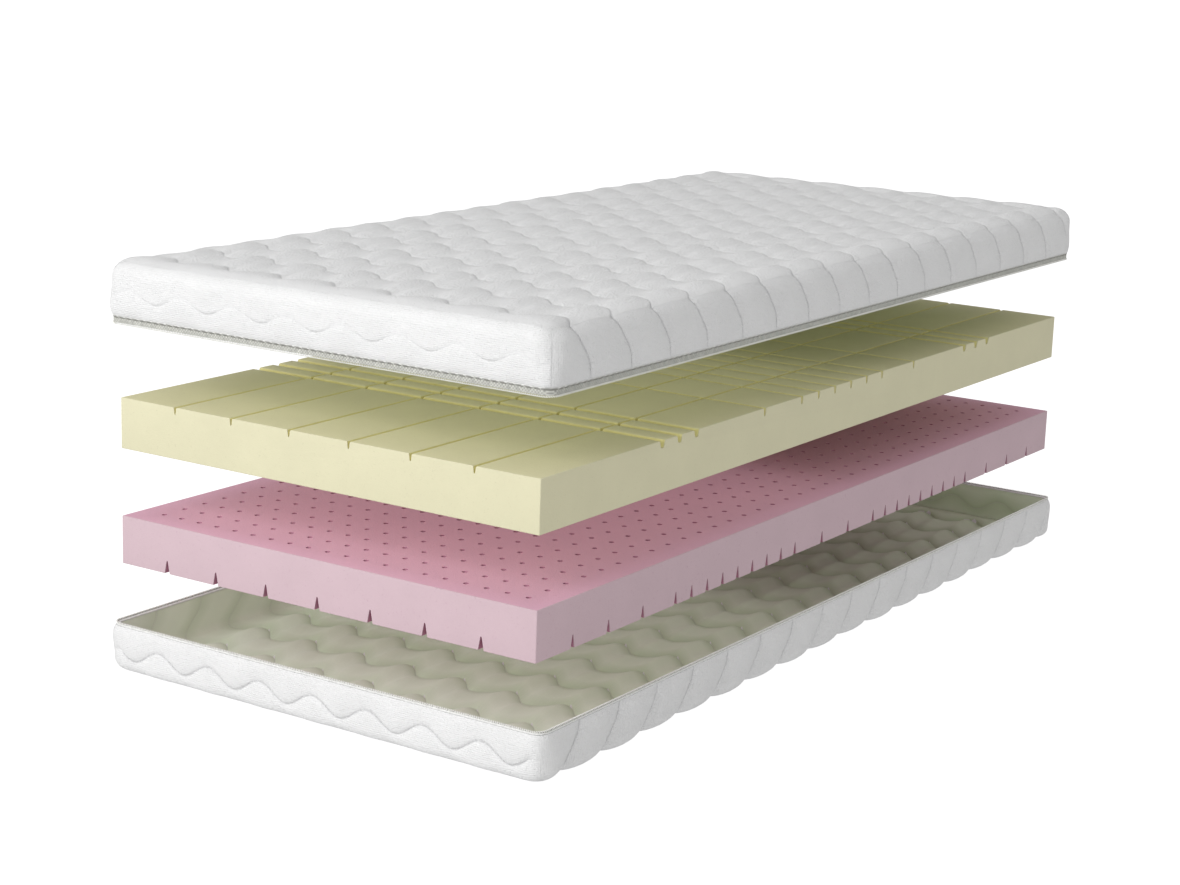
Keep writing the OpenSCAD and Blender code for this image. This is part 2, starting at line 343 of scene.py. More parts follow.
def soft_mottle(name):
    """A colour that varies a little over the surface, as cloth and foam do"""
    board, given, out = new_group(
        name, [("Vector", "NodeSocketVector", None), ("Color", "NodeSocketColor", (1, 1, 1, 1)),
               ("Scale", "NodeSocketFloat", 8.0), ("Amount", "NodeSocketFloat", 0.1)],
        [("Color", "NodeSocketColor")])
    cloud = board.noise(given["Vector"], given["Scale"], 4.0)
    value = board.plus(1.0, board.times(board.minus(cloud, 0.5), given["Amount"]))
    scaled = board.add("ShaderNodeVectorMath", {0: given["Color"]}, operation="SCALE")
    board.feed(value, scaled.inputs["Scale"])
    board.feed(scaled.outputs["Vector"], out["Color"])
    return board.tree


def foam_cells(name):
    """The open cells of cut foam: a fine pitted height and a mask of the larger pores"""
    board, given, out = new_group(
        name, [("Vector", "NodeSocketVector", None), ("Cell", "NodeSocketFloat", 0.002)],
        [("Height", "NodeSocketFloat"), ("Pores", "NodeSocketFloat")])
    per_metre = board.over(1.0, given["Cell"])
    cells = board.add("ShaderNodeTexVoronoi", {
        "Vector": given["Vector"], "Scale": per_metre}).outputs["Distance"]
    fine = board.noise(given["Vector"], board.times(per_metre, 0.45), 5.0, 0.7)
    lumps = board.noise(given["Vector"], 22.0, 3.0)
    height = board.plus(board.times(cells, 0.35), board.times(fine, 0.5),
                        board.times(lumps, 0.9))
    board.feed(height, out["Height"])
    board.feed(board.ramp(fine, 0.60, 0.72), out["Pores"])
    return board.tree


def stitch_line(name):
    """A run of stitches and a mask for painted shade along the seam: X is the distance from the seam
    and Y the way along it
    """
    board, given, out = new_group(
        name, [("Vector", "NodeSocketVector", None), ("Length", "NodeSocketFloat", 0.0045)],
        [("Thread", "NodeSocketFloat"), ("PaintedShade", "NodeSocketFloat")])
    flat = board.split(given["Vector"])
    near = board.ramp(flat["X"], 0.0005, 0.0011, 1.0, 0.0)
    step = board.fraction(board.over(flat["Y"], given["Length"]))
    dash = board.ramp(board.absolute(board.minus(step, 0.5)), 0.30, 0.38, 1.0, 0.0)
    board.feed(board.times(near, dash), out["Thread"])
    # mask for painted shade beside the seam, fading out 3.5 mm away
    board.feed(board.ramp(flat["X"], 0.0, 0.0035, 1.0, 0.0), out["PaintedShade"])
    return board.tree


def new_finish(name):
    """A new material with its board and its Principled shader"""
    material = bpy.data.materials.new(name)
    material.use_nodes = True
    board = Board(material.node_tree)
    shader = material.node_tree.nodes["Principled BSDF"]
    return material, board, shader


def surface_vector(board, layer):
    """The piece's own flat pattern of that name, in metres"""
    return board.add("ShaderNodeUVMap", uv_map=layer).outputs["UV"]


def place_vector(board):
    return board.add("ShaderNodeTexCoord").outputs["Object"]


def surface_normal(board):
    return board.add("ShaderNodeNewGeometry").outputs["Normal"]


def give_relief(board, shader, height, distance, strength=1.0):
    bump = board.add("ShaderNodeBump", {
        "Strength": strength, "Distance": distance, "Height": height})
    board.feed(bump.outputs["Normal"], shader.inputs["Normal"])


def rgba(colour):
    return (*colour, 1.0)


# painted shade for the valleys between the knit's ribs
RIB_SHADE = (0.52, 0.52, 0.53, 1.0)
# painted shade laid along the quilting seams of the knit
SEAM_SHADE = (0.36, 0.36, 0.38, 1.0)
KNIT_THREAD = (0.90, 0.90, 0.90, 1.0)
LINING_THREAD = (0.80, 0.80, 0.74, 1.0)
# painted light on the lining near the foot end and the long sides
LIT_LINING = (0.84, 0.85, 0.78, 1.0)
# shares that turn the lining darker and greener: painted shade in the valleys beside its seams
VALLEY_SHADE_LINING = (0.40, 0.50, 0.29)
# painted shadow where the hem binding meets the zip tape
JOIN_SHADOW = (0.16, 0.16, 0.14, 1.0)
BARE_METAL = (0.78, 0.77, 0.74, 1.0)


def darker(colour, *share):
    """The colour times one share, or times one share for each channel"""
    return rgba([c * k for c, k in zip(colour, share * 3 if len(share) == 1 else share)])


def knit_finish(colours, quilt):
    """White quilted knit with its seams"""
    material, board, shader = new_finish("white_knit")
    cloth = surface_vector(board, "cloth")
    seams = surface_vector(board, "seams")
    tone = board.mottled(cloth, rgba(colours.knit), 9.0, 0.10)
    ribs = board.group(shared("KnitRelief", knit_relief), {"Vector": cloth, "Wale": 0.0034})
    stitches = board.group(shared("StitchLine", stitch_line), {
        "Vector": seams, "Length": quilt.stitch})
    # painted shade: the knit darker in the valleys between its ribs
    shaded = board.mix(board.ramp(ribs["Height"], 0.1, 0.7, 0.14, 0.0), tone, RIB_SHADE)
    # painted shade: the knit darker along the quilting seams
    seam_shaded = board.mix(board.times(stitches["PaintedShade"], 0.20), shaded, SEAM_SHADE)
    thread = board.mix(board.times(stitches["Thread"], 0.55), seam_shaded, KNIT_THREAD)
    board.feed(thread, shader.inputs["Base Color"])
    puckers = board.add("ShaderNodeMapping", {
        "Vector": seams, "Scale": (14.0, 105.0, 1.0)}).outputs["Vector"]
    gather = board.times(board.noise(puckers, 1.0, 2.0),
                        board.ramp(board.split(seams)["X"], 0.0, 0.020, 1.0, 0.0))
    height = board.plus(
        board.times(ribs["Height"], 0.30), board.times(gather, 1.6),
        board.times(stitches["Thread"], 0.4), board.times(board.noise(cloth, 26.0), 0.9),
        board.times(board.noise(cloth, 210.0, 3.0, 0.65), 1.1))
    give_relief(board, shader, height, 0.0030, 0.9)
    board.feed(board.ramp(ribs["Height"], 0.0, 1.0, 0.92, 0.80), shader.inputs["Roughness"])
    board.fill(shader, {"Specular IOR Level": 0.18, "Sheen Weight": 0.12, "Sheen Roughness": 0.6})
    return material


def fleece_finish(colours):
    """Loose white fibre filling"""
    material, board, shader = new_finish("fibre_wadding")
    cloth = surface_vector(board, "cloth")
    fibres = board.noise(cloth, 420.0, 5.0, 0.7)
    tone = board.mix(board.ramp(fibres, 0.35, 0.65), darker(colours.wadding, 0.86),
                     rgba(colours.wadding))
    board.feed(tone, shader.inputs["Base Color"])
    give_relief(board, shader, fibres, 0.0015, 0.8)
    board.fill(shader, {"Roughness": 0.95, "Specular IOR Level": 0.1})
    return material


def lining_finish(colours, quilt):
    """Thin backing cloth, through which the quilting shows"""
    material, board, shader = new_finish("backing_cloth")
    cloth = surface_vector(board, "cloth")
    seams = surface_vector(board, "seams")
    tone = board.mottled(cloth, rgba(colours.lining), 5.0, 0.16)
    weave = board.group(shared("ClothWeave", cloth_weave), {"Vector": cloth, "Thread": 0.0016})
    stitches = board.group(shared("StitchLine", stitch_line), {
        "Vector": seams, "Length": quilt.stitch})
    # painted shade: the lining darker and greener within 34 mm of a seam
    valley_shade = board.ramp(board.split(seams)["X"], 0.0, 0.034, 0.42, 0.0)
    tone = board.mix(valley_shade, tone, darker(colours.lining, *VALLEY_SHADE_LINING))
    flat = board.split(cloth)
    # painted light: the lining paler towards the foot end and towards the long sides
    foot_light = board.ramp(flat["X"], -0.60, -0.96, 0.0, 0.55)
    side_light = board.ramp(board.absolute(flat["Y"]), 0.38, 0.50, 0.0, 0.35)
    tone = board.mix(board.math("MAXIMUM", foot_light, side_light), tone, LIT_LINING)
    # painted shade: the lining darker along the quilting seams
    seam_shaded = board.mix(board.times(stitches["PaintedShade"], 0.25), tone, darker(colours.lining, 0.55))
    thread = board.mix(board.times(stitches["Thread"], 0.5), seam_shaded, LINING_THREAD)
    board.feed(thread, shader.inputs["Base Color"])
    height = board.plus(
        board.times(weave["Height"], 0.2), board.times(board.noise(cloth, 30.0, 4.0), 0.9))
    give_relief(board, shader, height, 0.0015, 0.7)
    board.fill(shader, {"Roughness": 0.85, "Specular IOR Level": 0.2, "Sheen Weight": 0.10})
    return material


def woven_finish(name, colour, thread, contrast, seam=None):
    """Narrow woven ribbon, binding or zip tape; seam is the height of a dashed line of painted shadow
    where binding and tape meet
    """
    material, board, shader = new_finish(name)
    place = place_vector(board)
    flat = board.split(place)
    around = board.plus(flat["X"], flat["Y"])
    run = board.add("ShaderNodeCombineXYZ", {"X": around, "Y": flat["Z"]}).outputs["Vector"]
    weave = board.group(shared("ClothWeave", cloth_weave), {"Vector": run, "Thread": thread})
    tone = board.mottled(place, rgba(colour), 130.0, 1.6 * contrast)
    # painted shade: the ribbon darker where the weave sinks
    weave_shaded = board.mix(board.ramp(weave["Height"], 0.25, 0.6, contrast, 0.0), tone,
                     darker(colour, 0.55))
    if seam is not None:
        # painted shadow along the join of binding and tape, dashed like stitches and never quite gone
        # between the dashes, on upright faces only
        off = board.absolute(board.minus(flat["Z"], seam))
        step = board.fraction(board.over(around, 0.016))
        dash = board.times(board.ramp(off, 0.0008, 0.0015, 1.0, 0.0),
                          board.ramp(step, 0.62, 0.74, 0.85, 0.25))
        up = board.absolute(board.split(surface_normal(board))["Z"])
        dash = board.times(dash, board.ramp(up, 0.4, 0.7, 1.0, 0.0))
        weave_shaded = board.mix(dash, weave_shaded, JOIN_SHADOW)
    board.feed(weave_shaded, shader.inputs["Base Color"])
    give_relief(board, shader, weave["Height"], 0.0005, 0.8)
    board.fill(shader, {"Roughness": 0.8, "Specular IOR Level": 0.25})
    return material


def coil_finish(colours):
    """Pale nylon wire"""
    material, board, shader = new_finish("nylon_coil")
    tone = board.mottled(place_vector(board), rgba(colours.coil), 40.0, 0.15)
    board.feed(tone, shader.inputs["Base Color"])
    grain = board.noise(place_vector(board), 500.0, 2.0)
    board.feed(board.ramp(grain, 0.3, 0.7, 0.36, 0.52), shader.inputs["Roughness"])
    shader.inputs["Coat Weight"].default_value = 0.15
    return material


def enamel_finish(colours):
    """Grey enamelled zip metal, rubbed bright along its edges"""
    material, board, shader = new_finish("zip_enamel")
    place = place_vector(board)
    scuffs = board.noise(place, 900.0, 4.0, 0.7)
    edge = board.ramp(board.add("ShaderNodeNewGeometry").outputs["Pointiness"], 0.52, 0.60)
    bare = board.times(edge, board.ramp(scuffs, 0.35, 0.6))
    tone = board.mix(bare, rgba(colours.metal), BARE_METAL)
    board.feed(tone, shader.inputs["Base Color"])
    board.feed(board.ramp(bare, 0.0, 1.0, 0.35, 1.0), shader.inputs["Metallic"])
    board.feed(board.ramp(scuffs, 0.3, 0.7, 0.28, 0.42), shader.inputs["Roughness"])
    give_relief(board, shader, scuffs, 0.00012, 0.4)
    return material


def foam_finish(name, side, top, cut, half, cell, pore_shade):
    """Cut foam, with one colour for its sides, one for its faces and one in its cuts; the faces'
    deeper colour is painted shade, the colour in the cuts is painted shade on the core and a painted
    highlight on the comfort layer, and the larger pores get painted shade
    """
    material, board, shader = new_finish(name)
    place = place_vector(board)
    flat = board.split(place)
    skin = 0.0008
    inside = board.times(*[
        board.ramp(board.absolute(flat[way]), limit - 3 * skin, limit - skin, 1.0, 0.0)
        for way, limit in (("X", half.x), ("Y", half.y))])
    # painted shade: the faces a deeper colour than the sides
    base = board.mix(inside, rgba(side), rgba(top))
    # in holes, slits and grooves: painted shade on the core, painted highlight on the comfort layer
    up = board.absolute(board.split(surface_normal(board))["Z"])
    steep = board.ramp(up, 0.45, 0.95, 0.85, 0.0)
    base = board.mix(board.times(inside, steep), base, rgba(cut))
    tone = board.mottled(place, base, 11.0, 0.10)
    cells = board.group(shared("FoamCells", foam_cells), {"Vector": place, "Cell": cell})
    # painted shade in the larger pores
    pores_shaded = board.mix(board.times(cells["Pores"], pore_shade), tone, darker(top, 0.62))
    board.feed(pores_shaded, shader.inputs["Base Color"])
    give_relief(board, shader, cells["Height"], 0.0012, 0.55)
    board.feed(board.ramp(cells["Pores"], 0.0, 1.0, 0.86, 0.96), shader.inputs["Roughness"])
    shader.inputs["Specular IOR Level"].default_value = 0.15
    return material


# ---------------------------------------------------------------- modelling helpers

def clear_selection():
    if bpy.context.object and bpy.context.object.mode != "OBJECT":
        bpy.ops.object.mode_set(mode="OBJECT")
    bpy.ops.object.select_all(action="DESELECT")


def make_active(piece):
    clear_selection()
    piece.select_set(True)
    bpy.context.view_layer.objects.active = piece


def settle(piece):
    """Puts the piece's place into its mesh"""
    make_active(piece)
    bpy.ops.object.transform_apply(location=True, rotation=True, scale=True)


@contextmanager
def editing(piece):
    """Edit mode on one piece, with all of its mesh selected"""
    make_active(piece)
    bpy.ops.object.mode_set(mode="EDIT")
    bpy.ops.mesh.select_all(action="SELECT")
    yield
    bpy.ops.object.mode_set(mode="OBJECT")


def face_outwards(piece):
    with editing(piece):
        bpy.ops.mesh.normals_make_consistent(inside=False)


def apply_modifier(piece, kind, **settings):
    make_active(piece)
    modifier = piece.modifiers.new(kind.title(), kind)
    for name, value in settings.items():
        setattr(modifier, name, value)
    bpy.ops.object.modifier_apply(modifier=modifier.name)


def dress(piece, body, material, nodes, smooth_angle=None):
    """Gives a finished piece its material and its body, and hides the CAD nodes that it stands for"""
    piece.data.materials.clear()
    piece.data.materials.append(material)
    make_active(piece)
    if smooth_angle is None:
        bpy.ops.object.shade_smooth()
    else:
        bpy.ops.object.shade_smooth_by_angle(angle=smooth_angle)
    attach(piece, body)
    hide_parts(*nodes)
    clear_selection()


def linked(item):
    bpy.context.scene.collection.objects.link(item)
    return item


def renamed(name):
    """The piece that was just added, with its new name"""
    piece = bpy.context.object
    piece.name = name
    piece.data.name = name
    return piece


def mesh_piece(name, points, faces):
    mesh = bpy.data.meshes.new(name)
    mesh.from_pydata([tuple(p) for p in points], [], [tuple(f) for f in faces])
    mesh.update()
    return linked(bpy.data.objects.new(name, mesh))


def blend_step(low, high, value):
    """0 below low, 1 above high and a smooth rise between"""
    t = np.clip((value - low) / (high - low), 0.0, 1.0)
    return t * t * (3 - 2 * t)


# ---------------------------------------------------------------- quilted covers

class QuiltNet:
    """The net of points over one cover half, laid out flat: a top and a skirt round it.

    X and Y are places on the plain box, D is the depth down the skirt. Its lines across
    the width follow the seams, so that a seam is always a sharp line of the mesh.
    """

    def __init__(self, quilt, depth, upper, fine):
        self.quilt = quilt
        self.depth = depth
        self.end_seam = quilt.upper_end_seam if upper else quilt.end_seam
        self.end_wave = quilt.upper_end_wave if upper else quilt.end_wave
        self.faint = 0.55 if upper else 0.0
        self.last_seam = ROWS_ACROSS * quilt.row_pitch
        xs = self.length_lines(fine)
        ys = self.width_lines(fine)
        ds = self.depth_lines(fine)
        nx, ny = len(xs), len(ys)
        grid_x, grid_y = np.meshgrid(xs, ys, indexing="ij")
        ids = np.arange(nx * ny).reshape(nx, ny)
        loop = np.concatenate([ids[:, 0], ids[-1, 1:], ids[-2::-1, -1], ids[0, -2:0:-1]])
        loop_x, loop_y = grid_x.ravel()[loop], grid_y.ravel()[loop]
        on_side = np.isclose(np.abs(loop_y), HALF_W)
        rows = len(ds) - 1
        self.x = np.concatenate([grid_x.ravel(), np.tile(loop_x, rows)])
        self.y = np.concatenate([grid_y.ravel(), np.tile(loop_y, rows)])
        self.d = np.concatenate([np.zeros(nx * ny), np.repeat(ds[1:], len(loop))])
        self.side = np.concatenate([np.zeros(nx * ny, bool), np.tile(on_side, rows)])
        self.end = np.concatenate([np.zeros(nx * ny, bool), np.tile(~on_side, rows)])
        top = np.stack([ids[:-1, :-1], ids[1:, :-1], ids[1:, 1:], ids[:-1, 1:]], -1)
        rings = [loop] + [nx * ny + m * len(loop) + np.arange(len(loop)) for m in range(rows)]
        skirt = [np.stack([a, b, np.roll(b, -1), np.roll(a, -1)], -1)
                 for a, b in zip(rings[:-1], rings[1:])]
        self.crease = loop
        self.hem = rings[-1]
        self.faces = np.concatenate([top.reshape(-1, 4)] + skirt)
        segment_side = np.isclose(np.abs(loop_y + np.roll(loop_y, -1)), 2 * HALF_W)
        kind = np.concatenate([np.zeros(top.size // 4, int),
                               np.tile(np.where(segment_side, 1, 2), rows)])
        self.face_kind = kind

    def length_lines(self, fine):
        pitch = self.quilt.row_pitch
        if fine:
            near = np.array([0, 1.4, 4.2, 9, 17, 28, 42]) * MM
            past = np.array([1.4, 4.2, 9, 17, 28]) * MM
            rim = np.array([28, 20, 12, 6, 2.6, 1.4, 0.6, 0]) * MM
        else:
            near = np.array([0, 8, 28]) * MM
            past = np.array([8, 28]) * MM
            rim = np.array([20, 8, 2, 0]) * MM
        step = np.concatenate([near, [pitch / 2], (pitch - near[:0:-1])])
        rows = [k * pitch + step for k in range(-ROWS_ACROSS, ROWS_ACROSS)]
        middle = np.concatenate(rows + [[self.last_seam]])
        outer = np.concatenate([self.last_seam + past, HALF_L - rim])
        outer = np.unique(np.round(outer, 6))
        return np.concatenate([-outer[::-1], middle, outer])

    def width_lines(self, fine):
        count = ROWS_ACROSS * (16 if fine else 6)
        lines = np.linspace(-HALF_W, HALF_W, count + 1)
        extra = (np.array([4.4, 2.4, 1.2, 0.5]) if fine else np.array([2.0])) * MM
        return np.unique(np.concatenate([lines, HALF_W - extra, extra - HALF_W]))

    def depth_lines(self, fine):
        d0 = self.end_seam
        if fine:
            near = np.array([0.6, 1.4, 2.6, 5, 9, 14, 20, 26]) * MM
            seam = d0 + np.array([-9, -4, -1.4, 0, 1.4, 4, 9]) * MM
            hem = self.depth - np.array([26, 18, 12, 7, 3.5, 1.4, 0]) * MM
        else:
            near = np.array([2, 8, 20]) * MM
            seam = d0 + np.array([-6, 0, 6]) * MM
            hem = self.depth - np.array([14, 5, 0]) * MM
        hem = hem[hem > seam[-1] + 2 * MM]
        near = near[near < seam[0] - 2 * MM]
        return np.concatenate([[0.0], near, seam, hem])

    def across(self):
        """Distance from the middle line, over the edge and down the skirt"""
        return np.abs(self.y) + np.where(self.side, self.d, 0.0)

    def lean(self, v):
        """How far a seam lies from its row's line at a distance v from the middle"""
        q = self.quilt
        flat = q.wave_height / 2 * (1 - np.cos(2 * math.pi * v / q.row_pitch))
        drop = np.clip((v - HALF_W) / q.side_drop, 0, 1)
        fall = q.side_swing / 2 * (1 - np.cos(math.pi * drop))
        return np.where(v <= HALF_W, flat, fall)

    def slope(self, v):
        q = self.quilt
        turn = 2 * math.pi / q.row_pitch
        flat = q.wave_height / 2 * turn * np.sin(turn * v)
        drop = np.clip((v - HALF_W) / q.side_drop, 0, 1)
        fall = q.side_swing / 2 * math.pi / q.side_drop * np.sin(math.pi * drop)
        return np.where(v <= HALF_W, flat, fall)

    def end_fade(self):
        """The wavy seam on an end face dies away before the corners"""
        return 1 - blend_step(HALF_W - 0.030, HALF_W - 0.004, np.abs(self.y))

    def box_places(self):
        """Where the net's points lie on the plain box, once its lines follow the seams"""
        fade = np.clip((HALF_L - np.abs(self.x)) / (HALF_L - self.last_seam), 0, 1)
        x = self.x + self.lean(self.across()) * fade
        wave = np.cos(2 * math.pi * self.y / self.quilt.row_pitch)
        swing = self.end_wave / 2 * wave * self.end_fade()
        d0 = self.end_seam
        room = np.where(self.d < d0, self.d / d0, (self.depth - self.d) / (self.depth - d0))
        bend = np.where(self.end, swing * np.clip(1.25 * room, 0, 1), 0.0)
        return x, self.y, self.d + bend

    def seam_distance(self):
        pitch = self.quilt.row_pitch
        beyond = np.abs(self.x) - self.last_seam
        to_row = np.abs(self.x - pitch * np.round(self.x / pitch))
        to_row = np.where(beyond > 0, beyond, to_row)
        to_end = np.abs(self.d - self.end_seam) + 0.05 * (1 - self.end_fade()) + 0.003 * self.faint
        return np.where(self.end, to_end, to_row)

    def padding(self):
        """Height of the padding, from 0 in a seam to 1 on the fullest puff"""
        q = self.quilt
        pitch = q.row_pitch
        v = self.across()
        part = (self.x / pitch) % 1.0
        row = np.floor(self.x / pitch)
        squeeze = 1 / (1 + np.where(v <= HALF_W, 1.0, 0.25) * self.slope(v) ** 2)
        uneven = 1 + 0.07 * np.sin(2.3 * row + 11.0 * v) + 0.05 * np.sin(5.1 * row - 23.0 * self.y)
        rows = squeeze * uneven * (4 * part * (1 - part)) ** 0.68
        past = np.clip(np.abs(self.x) - self.last_seam, 0, None)
        rise = 1 - np.exp(-past / 0.016)
        to_end = np.where(self.end, np.abs(self.d - self.end_seam),
                          HALF_L - np.abs(self.x) + self.end_seam)
        dip = 0.6 * np.exp(-to_end / 0.016) + 0.4 * np.exp(-to_end / 0.004)
        dip = dip * self.end_fade() * ~self.side * (1 - self.faint)
        wave = np.cos(2 * math.pi * self.y / pitch) * self.end
        share = np.where(self.d < self.end_seam, 0.12, -0.35)
        ends = 0.95 * rise * (1 - dip) * (1 + share * wave * self.end_fade())
        height = np.where(past > 0, ends, rows)
        to_hem = np.where(self.side | self.end, self.depth - self.d, self.depth)
        return height * (1 - np.exp(-to_hem / 0.011)), np.exp(-to_hem / 0.009)

    def pattern(self):
        """Per-corner flat pattern in metres, for the knit and for the seams"""
        x, y, d = self.box_places()
        places = [(x, y), (x, np.sign(y) * (HALF_W + d)), (np.sign(x) * (HALF_L + d), y)]
        corner = self.faces.ravel()
        kind = np.repeat(self.face_kind, 4)
        cloth = np.zeros((len(corner), 2))
        for index, (u, v) in enumerate(places):
            use = kind == index
            cloth[use, 0] = u[corner[use]]
            cloth[use, 1] = v[corner[use]]
        along = np.where(self.end, self.y, 1.25 * self.across())
        seams = np.stack([self.seam_distance(), along], -1)[corner]
        return cloth, seams


def lay_on_box(net, half_l, half_w, depth, radii):
    """The net laid on a box with round edges: its points and their outward directions"""
    x, y, d = net.box_places()
    ends = np.clip(np.abs(x) - net.last_seam, 0, None)
    squeeze = (half_l - net.last_seam) / (HALF_L - net.last_seam)
    x = np.where(ends > 0, np.sign(x) * (net.last_seam + ends * squeeze), x)
    p = np.stack([x, y * half_w / HALF_W, -d * depth / net.depth], -1)
    r = np.stack([np.broadcast_to(radius, x.shape) for radius in radii], -1)
    core = np.stack([np.clip(p[:, 0], r[:, 0] - half_l, half_l - r[:, 0]),
                     np.clip(p[:, 1], r[:, 1] - half_w, half_w - r[:, 1]),
                     np.minimum(p[:, 2], -r[:, 2])], -1)
    out = (p - core) / r
    out /= np.linalg.norm(out, axis=1, keepdims=True)
    away = out / r
    away /= np.linalg.norm(away, axis=1, keepdims=True)
    return core + out * r, away


def shell_piece(name, net, outer, inner, level, upright, part="all"):
    """A closed layer between two surfaces of the net, stood on its level

    part "floor" keeps only its flat middle and part "skirt" only the wall round it.
    """
    count = len(outer)
    middle = net.face_kind == 0
    use = {"all": middle | ~middle, "floor": middle, "skirt": ~middle}[part]
    kept = net.faces[use]
    rims = []
    if part != "floor":
        rims.append((net.hem, np.roll(net.hem, -1)))
    if part == "floor":
        rims.append((net.crease, np.roll(net.crease, -1)))
    if part == "skirt":
        rims.append((np.roll(net.crease, -1), net.crease))
    rim = np.concatenate([np.stack([a, a + count, b + count, b], -1) for a, b in rims])
    faces = np.concatenate([kept, kept[:, ::-1] + count, rim])
    points = np.concatenate([outer, inner])
    if upright:
        points = points + np.array([0, 0, level])
    else:
        points = points * np.array([1, 1, -1]) + np.array([0, 0, level])
        faces = faces[:, ::-1]
    piece = mesh_piece(name, points, faces)
    cloth, seams = net.pattern()
    for label, flat in (("cloth", cloth), ("seams", seams)):
        quads = flat.reshape(-1, 4, 2)[use]
        rim_flat = np.resize(quads[-len(rim):, 1:2], (len(rim), 4, 2))
        both = np.concatenate([quads, quads[:, ::-1], rim_flat])
        if not upright:
            both = both[:, ::-1]
        layer = piece.data.uv_layers.new(name=label)
        layer.data.foreach_set("uv", both.astype(np.float32).ravel())
    if part != "all":
        with editing(piece):
            bpy.ops.mesh.delete_loose(use_verts=True, use_edges=False, use_faces=False)
    return piece


# Outside: shares and heights that shape the padding towards the edges and the rim
UPPER_BULGE = -0.35
UPPER_PINCH = -0.0015
END_SOFTNESS = 0.45
HEM_SINK = 0.0018
TAB_ROOM = 0.0010
# Inside: radii of the lining, the room that the core needs and the seams on the floor
LINING_CORNER = 0.014
CORNER_CLEARANCE = 0.010
END_CLEARANCE = 0.0020
SOFT_CREASE = 0.020
TIGHT_CREASE = 0.002
LINING_SEAM_LEVEL = 0.0028


def quilt_surfaces(net, quilt, wall, inner_half, depth, rests):
    """Outer face of the knit and inner face of the lining of one cover half"""
    fullness, hem = net.padding()
    plan = quilt.corner - (quilt.corner - quilt.hem_corner) * blend_step(
        0.3 * depth, depth, net.d)
    plain, away = lay_on_box(net, HALF_L, HALF_W, depth, (plan, plan, quilt.edge))
    flat_down = np.clip(away[:, 2], 0, 1) ** 4
    proud = quilt.proud * (1 - flat_down) if rests else quilt.proud * np.ones(len(plain))
    along = np.abs(net.box_places()[0])
    past_edge = net.across() - HALF_W
    bulge = quilt.side_bulge if rests else UPPER_BULGE
    proud = proud * (1 + bulge * blend_step(-0.05, 0.02, past_edge))
    if rests:
        under_tab = blend_step(0.026, 0.054, net.d) * (net.side & (net.y > 0))
        under_tab = under_tab * (1 - blend_step(HALF_L - 0.060, HALF_L - 0.015, along))
        proud = proud - (proud + TAB_ROOM) * under_tab
    near_end = blend_step(HALF_L - 0.055, HALF_L - 0.020, along)
    sink = (quilt.puff - quilt.proud) * (1 - END_SOFTNESS * near_end * ~net.side)
    at_edge = np.exp(-(past_edge / 0.030) ** 2) * (1 - blend_step(net.last_seam, HALF_L, along))
    sink = sink + (quilt.pinch if rests else UPPER_PINCH) * at_edge
    lift = fullness * (proud + sink) - sink + hem * (sink - HEM_SINK)
    outer = plain + away * lift[:, None]
    corner = LINING_CORNER
    reach = inner_half[0]
    if rests:
        clear = 1 - blend_step(HALF_W - 0.035, HALF_W - 0.012, np.abs(net.box_places()[1]))
        corner = corner - CORNER_CLEARANCE * clear
        reach = reach + END_CLEARANCE * clear
    crease = SOFT_CREASE - (SOFT_CREASE - TIGHT_CREASE) * blend_step(
        HALF_L - 0.060, HALF_L - 0.024, along)
    inside, into = lay_on_box(
        net, reach, inner_half[1], depth - wall, (corner, SOFT_CREASE, crease))
    down = np.clip(into[:, 2], 0, 1) ** 2
    floor = down ** 2
    puff = quilt.floor_puff if rests else quilt.lining_puff
    rise = quilt.lining_puff * 0.25 * (1 - floor) + puff * floor
    fold = 1 - 3.2 * down * (1 - down)
    dent = (1 - fullness) * rise * fold * (1 - 0.8 * hem) - (rise - LINING_SEAM_LEVEL) * floor
    inner = inside + into * dent[:, None] - np.array([0, 0, wall])
    return outer, away, inner, into


def build_cover(upper, quilt, colours):
    """The knit, wadding and lining of one cover half"""
    low, high = UPPER_SKIN if upper else LOWER_SKIN
    depth = high.z - low.z
    wall = LOWER_LINING[0].z + quilt.lining
    inner_half = (HALF_L - wall, HALF_W - wall)
    level = high.z if upper else low.z
    half, body = ("top", "top_cover") if upper else ("bottom", "bottom_cover")
    fine = QuiltNet(quilt, depth, upper, True)
    outer, away, inner, into = quilt_surfaces(fine, quilt, wall, inner_half, depth, not upper)
    knit = shell_piece(half + "_knit", fine, outer, outer - away * quilt.fabric, level, upper)
    parts = ["all"] if upper else ["floor", "skirt"]
    backings = [
        shell_piece(half + "_backing_" + part, fine, inner + into * quilt.lining, inner,
                    level, upper, part) for part in parts]
    coarse = QuiltNet(quilt, depth, upper, False)
    outer, away, inner, into = quilt_surfaces(coarse, quilt, wall, inner_half, depth, not upper)
    gap = 0.0004
    fillings = [
        shell_piece(half + "_filling_" + part, coarse, outer - away * (quilt.fabric + gap),
                    inner + into * (quilt.lining + gap), level, upper, part) for part in parts]
    finishes = cover_finishes(colours, quilt)
    cloths = [(knit, "cover_knit", half + "_fabric")]
    cloths += [(piece, "wadding", half + "_wadding") for piece in fillings]
    cloths += [(piece, "lining", half + "_lining") for piece in backings]
    for piece, slot, node in cloths:
        dress(piece, body, finishes[slot], [node])
        if piece.name.endswith("_floor"):
            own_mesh(piece)


def cover_finishes(colours, quilt):
    """The three cloth finishes, made once and shared by both halves"""
    known = bpy.data.materials
    return {
        "cover_knit": known.get("white_knit") or knit_finish(colours, quilt),
        "wadding": known.get("fibre_wadding") or fleece_finish(colours),
        "lining": known.get("backing_cloth") or lining_finish(colours, quilt),
    }


# ---------------------------------------------------------------- edges and zip

